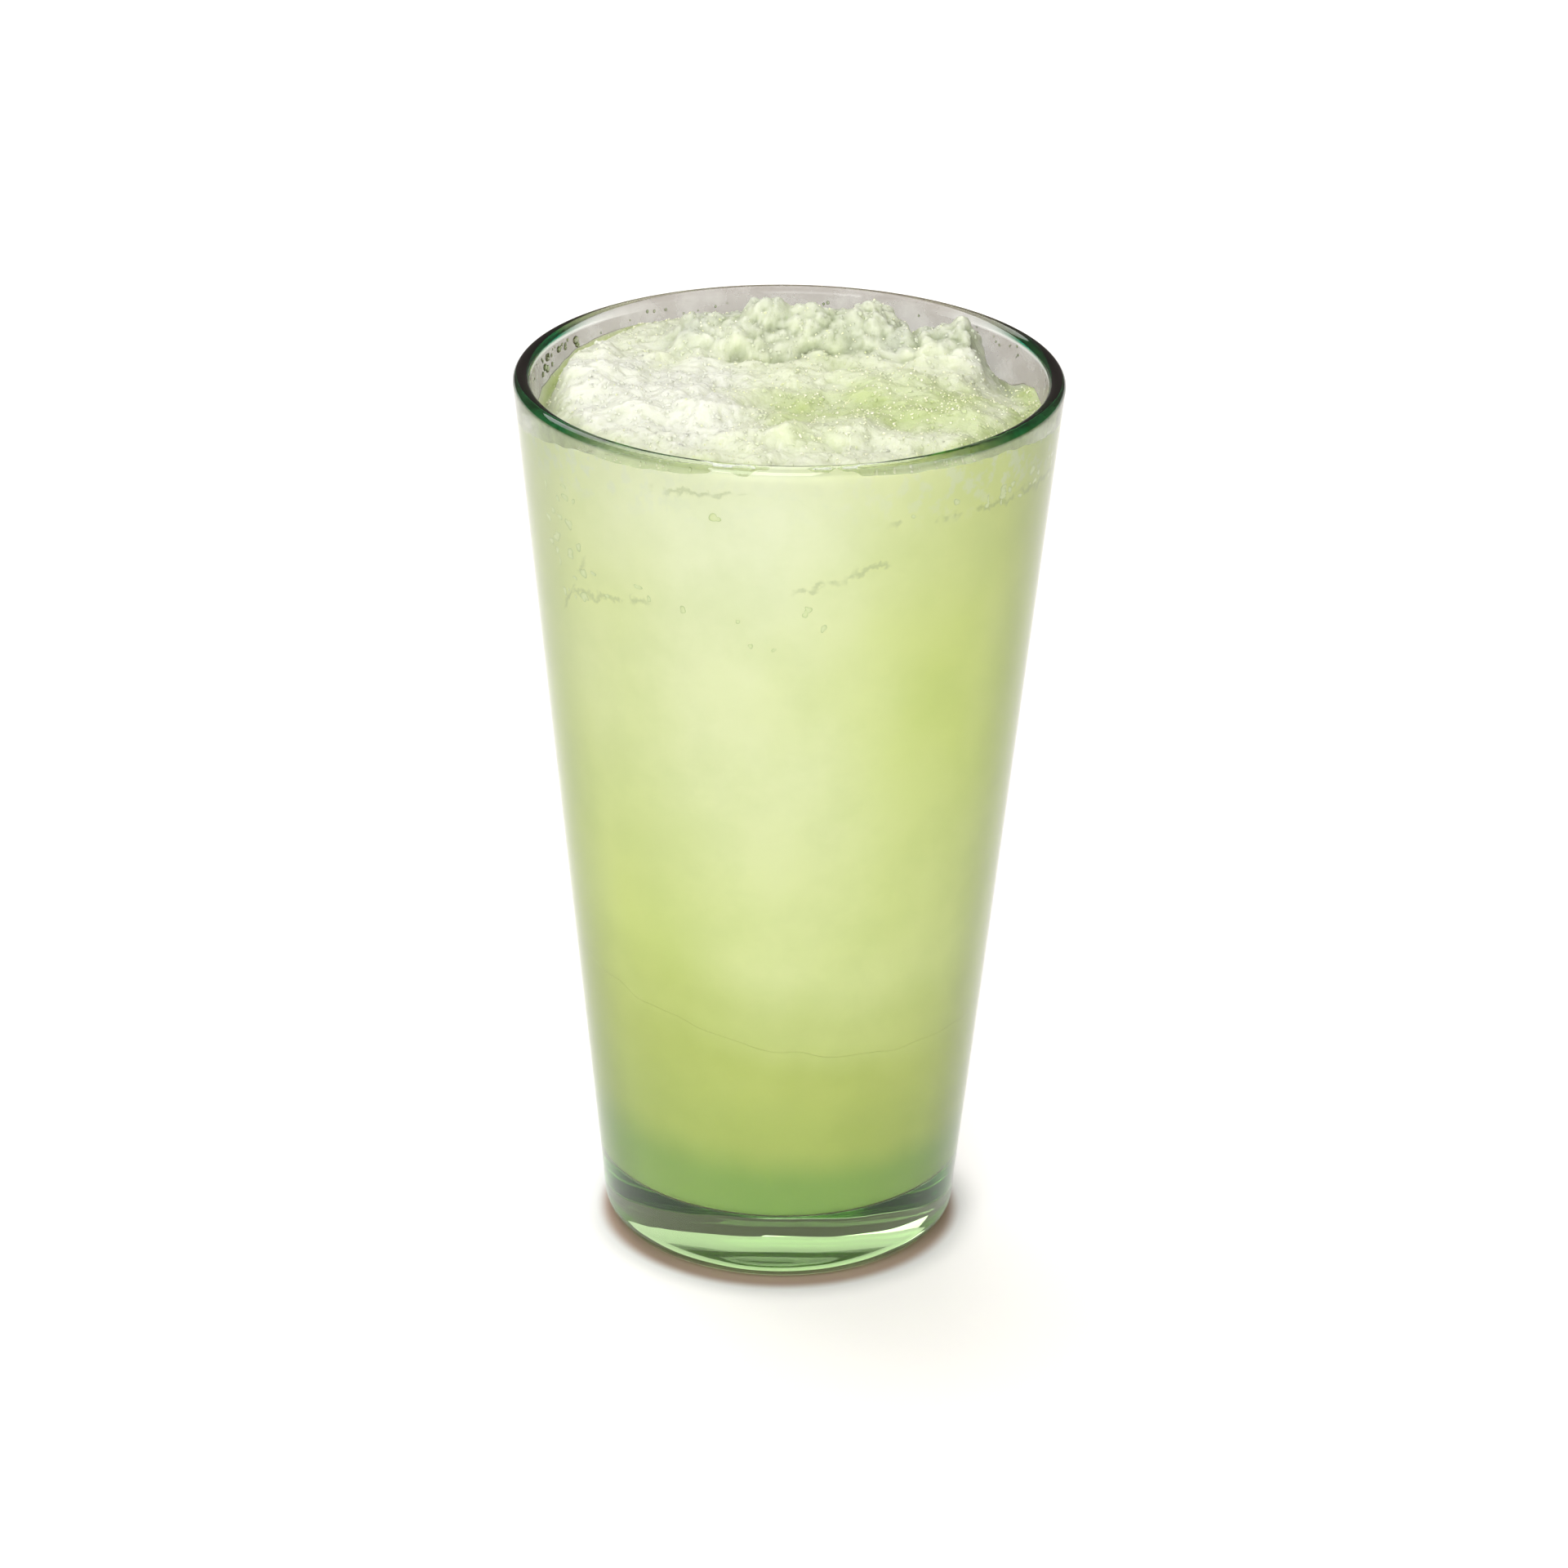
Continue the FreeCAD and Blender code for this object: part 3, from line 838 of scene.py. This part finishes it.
# where the ice has let go of the glass: first and last turn from the front in degrees, height in mm
# at the front, and the height's gain per degree
LOOSE_LINES = ((23, 88, 139.4, -0.025), (2, 24, 127.9, 0.19), (-62, -52, 176.0, 0.95),
               (-58, -33, 127.5, 0.12), (-30, -8, 144.6, 0.02))
LOOSE_COLOUR, FROST_COLOUR = (0.22, 0.27, 0.09), (0.80, 0.84, 0.58)
MOTTLE_STOPS = ((0.3, (0.92, 0.94, 0.88)), (0.65, (1.0, 1.0, 1.0)))
SIDE_PAINTED_SHADE = (0.72, 0.76, 0.62)


def wall_marks(tree, colour):
    """Broken dark lines where the ice stands off the glass, frost above them, a soft mottling, and painted
    shade on the far left and right.
    """
    place, (x, y, z) = object_place(tree)
    turn = math_node(tree, "ARCTAN2", x, math_node(tree, "MULTIPLY", y, -1.0))
    fine, coarse, cloud = (noise_at(tree, place, scale, Detail=detail, Roughness=0.6)
                           for scale, detail in ((420.0, 4.0), (190.0, 2.0), (55.0, 5.0)))
    wander = math_node(tree, "MULTIPLY_ADD", fine, mm(5), -mm(2.5))
    loose = 0.0
    for first, last, level, gain in LOOSE_LINES:
        line = math_node(tree, "MULTIPLY_ADD", turn, mm(gain) * 180 / math.pi, mm(level))
        off = math_node(tree, "ADD", math_node(tree, "SUBTRACT", z, line), wander)
        here = product(tree, span(tree, turn, math.radians(first - 2), math.radians(first + 2)),
                       span(tree, turn, math.radians(last + 2), math.radians(last - 2)),
                       span(tree, math_node(tree, "ABSOLUTE", off), mm(0.8), mm(0.1)))
        loose = math_node(tree, "MAXIMUM", loose, here)
    loose = product(tree, loose, span(tree, coarse, 0.42, 0.52), 0.36)
    colour = mixed(tree, loose, colour, pressed(LOOSE_COLOUR))
    aside = span(tree, math_node(tree, "ABSOLUTE", turn), math.radians(8), math.radians(50))
    band = product(tree, span(tree, z, mm(136), mm(143)), math_node(tree, "MULTIPLY_ADD", aside, 0.7, 0.3))
    frosted = product(tree, band, span(tree, fine, 0.48, 0.62), 0.6)
    colour = mixed(tree, frosted, colour, pressed(FROST_COLOUR))
    colour = mixed(tree, 1.0, colour, ramp(tree, cloud, MOTTLE_STOPS), "MULTIPLY")
    # painted shade: the ice darker where the wall faces to the far left and right, toning down the glass's
    # reflection there
    sideways = math_node(tree, "ABSOLUTE", math_node(tree, "SINE", turn))
    return mixed(tree, span(tree, sideways, 0.78, 1.0), colour, SIDE_PAINTED_SHADE, "MULTIPLY")


def wetted_material(name, on_glass=True):
    """What is pressed against the glass, ice above and melt below, with total reflection at low angles."""
    material, tree, output = new_material(name)
    height = attribute(tree, "above_melt")
    shades = [ramp(tree, height, [(place, pressed(colour)) for place, colour in stops])
              for stops in (DRY_AND_LIT_STOPS, SOAKED_AND_SHADED_STOPS)]
    # partly melt soaking in, partly painted shade: the ice and melt at the wall darker and greener towards
    # the sides, lightest in the front's middle
    colour = mixed(tree, attribute(tree, "soaked_and_shaded"), *shades)
    if on_glass:
        colour = wall_marks(tree, colour)
    body = node(tree, "ShaderNodeBsdfPrincipled", Base_Color=colour, Roughness=0.6, IOR=1.3,
                Specular_IOR_Level=0.0)
    if not on_glass:
        return finished(material, tree, output, body)
    mirror = node(tree, "ShaderNodeBsdfAnisotropic", Roughness=0.03, Color=(1, 1, 1, 1))
    grazing = node(tree, "ShaderNodeFresnel", IOR=MELT_OVER_GLASS_IOR).outputs[0]
    return finished(material, tree, output, mixed_shader(tree, grazing, body, mirror))


# the heap's colour from drained (0) to wet (1), where the ice is clear, and the painted shade down in its
# creases
SNOW_STOPS = ((0.0, (0.80, 0.825, 0.70)), (0.4, (0.73, 0.775, 0.57)), (1.0, (0.54, 0.63, 0.30)))
ICY_COLOUR, CREASE_PAINTED_SHADE = (0.58, 0.62, 0.49), (0.40, 0.46, 0.26)


def ice_material(name, depth, evenness):
    """Open ice: drained snow, wet green hollows, and painted shade down in its creases.

    Light spreads in it to a depth, and evenness is blue's share of that depth."""
    material, tree, output = new_material(name)
    place, _ = object_place(tree)
    snow = ramp(tree, attribute(tree, "wetness"), SNOW_STOPS)
    colour = mixed(tree, attribute(tree, "icy"), snow, ICY_COLOUR)
    uneven = math_node(tree, "ADD", noise_at(tree, place, 700.0, Detail=4.0, Roughness=0.7), -0.5)
    # painted shade: darker and greener down in the creases of the relief
    painted_crease_shade = span(tree, math_node(tree, "ADD", attribute(tree, "relief"), uneven), 0.0, -1.3)
    colour = mixed(tree, product(tree, painted_crease_shade, 0.5), colour, CREASE_PAINTED_SHADE)
    fine = noise_at(tree, place, 1300.0, Detail=4.0, Roughness=0.7)
    facets = node(tree, "ShaderNodeTexVoronoi", Vector=place, Scale=1700.0)
    rise = math_node(tree, "MULTIPLY_ADD", facets.outputs["Distance"], -0.7, fine)
    bump = node(tree, "ShaderNodeBump", Strength=0.34, Distance=mm(0.25), Height=rise)
    body = node(tree, "ShaderNodeBsdfPrincipled", Base_Color=colour, Roughness=0.35, IOR=1.31,
                Subsurface_Weight=1.0, Subsurface_Radius=(1.0, 1.0, evenness), Subsurface_Scale=depth,
                Normal=bump.outputs[0])
    return finished(material, tree, output, body)


def cloudy_material(name, scale, dark, light, **settings):
    """A plain material whose colour drifts between two shades; settings are its shader's own."""
    material, tree, output = new_material(name)
    place, _ = object_place(tree)
    colour = ramp(tree, noise_at(tree, place, scale), ((0.3, dark), (0.7, light)))
    body = node(tree, "ShaderNodeBsdfPrincipled", Base_Color=colour, **settings)
    return finished(material, tree, output, body)


def crystal_material():
    """Single wet crystals of clear ice."""
    return cloudy_material("ice_crystal", 1400.0, (0.78, 0.82, 0.52), (0.97, 0.97, 0.80),
                           Roughness=0.12, IOR=1.45, Subsurface_Weight=1.0,
                           Subsurface_Radius=(1.0, 1.0, 1.0), Subsurface_Scale=mm(0.1))


def drop_material():
    """Clear drops with a faint cloud in them."""
    return cloudy_material("melt_drop", 500.0, (0.55, 0.68, 0.40), (0.85, 0.92, 0.72),
                           Roughness=0.02, IOR=1.34, Transmission_Weight=1.0)


def pocket_material():
    """A dry patch behind the glass: the ice seen across a little air, with a dark edge in painted shade."""
    material, tree, output = new_material("air_pocket")
    # painted shade: darker towards the pocket's rim, standing in for the light its edge turns away
    stops = ((0.0, (0.74, 0.82, 0.38)), (0.6, (0.68, 0.77, 0.32)), (0.95, (0.36, 0.44, 0.15)))
    colour = ramp(tree, attribute(tree, "rim"), [(place, pressed(shade)) for place, shade in stops])
    body = node(tree, "ShaderNodeBsdfPrincipled", Base_Color=colour, Roughness=0.5, IOR=1.3)
    return finished(material, tree, output, body)


# ---------------------------------------------------------------- stage

FLOOR_REACH = 4.0
FLOOR_COLOUR, PAINTED_FOOT_SHADOW = (0.9, 0.9, 0.9), (0.50, 0.36, 0.29)
FLOOR_PAINTED_LIGHT = 0.32


def make_floor():
    """A plain white floor, with painted light and shadow: it glows a little away from the glass, which
    lifts the glass's cast shadow, and has a painted contact shadow, warmer and darker, at its foot.
    """
    corners = [(a * FLOOR_REACH, b * FLOOR_REACH, 0) for a, b in ((-1, -1), (1, -1), (1, 1), (-1, 1))]
    item = add_mesh("floor", corners, [(0, 1, 2, 3)])
    material, tree, output = new_material("floor_white")
    place, _ = object_place(tree)
    away = node(tree, "ShaderNodeVectorMath", operation="LENGTH")
    tree.links.new(place, away.inputs[0])
    away = away.outputs["Value"]
    # painted shadow: the floor warmer and darker round the glass's foot
    floor_with_painted_shadow = mixed(tree, span(tree, away, mm(28.5), mm(31.2)), PAINTED_FOOT_SHADOW, FLOOR_COLOUR)
    # painted light: the floor glows away from the glass, which lifts the glass's cast shadow
    painted_floor_light = product(tree, span(tree, away, mm(28), mm(36)), FLOOR_PAINTED_LIGHT)
    surface = node(tree, "ShaderNodeBsdfPrincipled", Base_Color=floor_with_painted_shadow, Roughness=0.8,
                   Specular_IOR_Level=0.2, Emission_Color=(1.0, 0.95, 0.92, 1), Emission_Strength=painted_floor_light)
    item.data.materials.append(finished(material, tree, output, surface))
    item.location.z = -mm(0.05)


def softbox(name, place, size, watts):
    """A large square light that faces the glass."""
    light = bpy.data.lights.new(name, "AREA")
    light.size = size
    light.energy = watts
    item = bpy.data.objects.new(name, light)
    bpy.context.scene.collection.objects.link(item)
    item.location = place
    aim = Vector((0, 0, RIM_HEIGHT / 2)) - Vector(place)
    item.rotation_euler = aim.to_track_quat("-Z", "Y").to_euler()


def make_lights():
    """A dim room, a broad light in front, one overhead from behind, and a faint one on the right."""
    world = bpy.data.worlds.new("studio")
    bpy.context.scene.world = world
    world.use_nodes = True
    world.node_tree.nodes["Background"].inputs["Color"].default_value = (0.16, 0.135, 0.125, 1)
    softbox("key", (-0.28, -1.55, 0.80), 1.3, 31)
    softbox("overhead", (-0.35, 0.75, 1.5), 1.6, 22)
    softbox("fill", (1.5, -0.9, 0.7), 1.0, 5)


def make_camera():
    """A long lens from in front and above, with a small tilt to the side."""
    data = bpy.data.cameras.new("camera")
    data.sensor_width = 36
    data.lens = 142.03
    data.clip_end = 100
    item = bpy.data.objects.new("camera", data)
    bpy.context.scene.collection.objects.link(item)
    item.location = (0, -0.93756, 0.48556)
    look_down = Matrix.Rotation(math.radians(90 - 23.5005), 4, "X")
    item.rotation_euler = (look_down @ Matrix.Rotation(math.radians(0.761), 4, "Z")).to_euler()
    bpy.context.scene.camera = item


# ---------------------------------------------------------------- the whole

def main():
    """Makes every piece, its place in the frame and its materials, then the stage."""
    glass = make_glass()
    glass.data.materials.append(glass_material())
    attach(glass, "root")
    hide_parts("glass")
    core = make_core()
    core.data.materials.append(ice_material("lemon_ice", mm(3.2), 0.9))
    core.data.materials.append(wetted_material("lemon_ice_wall"))
    core.data.materials.append(wetted_material("lemon_ice_under", on_glass=False))
    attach(core, "root")
    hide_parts("slush")
    core_tree = BVHTree.FromPolygons([v.co for v in core.data.vertices],
                                     [p.vertices for p in core.data.polygons])
    crumbs = make_grains("ice_crumbs", core_tree, 2400, (mm(0.18), mm(0.5)), 2, 0.25, -0.5,
                         lambda x, y: 1.0 - 0.5 * wetness_at(x, y), 21)
    crumbs.data.materials.append(ice_material("ice_crumb", mm(0.25), 1.0))
    crystals = make_grains("ice_crystals", core_tree, 1600, (mm(0.10), mm(0.26)), 1, 0.2, 0.2,
                           lambda x, y: 0.05 + 0.95 * wetness_at(x, y) ** 2, 22)
    crystals.data.materials.append(crystal_material())
    make_pockets().data.materials.append(pocket_material())
    make_drops().data.materials.append(drop_material())
    melt = make_melt()
    melt.data.materials.append(wetted_material("lemon_melt"))
    melt.data.materials.append(wetted_material("lemon_melt_top", on_glass=False))
    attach(melt, "root")
    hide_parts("melt")
    make_floor()
    make_lights()
    make_camera()
    bpy.context.scene.view_settings.view_transform = "Standard"
    paths = bpy.context.scene.cycles
    paths.max_bounces = 32
    paths.transmission_bounces = 32
    paths.glossy_bounces = 24
    paths.diffuse_bounces = 6


main()
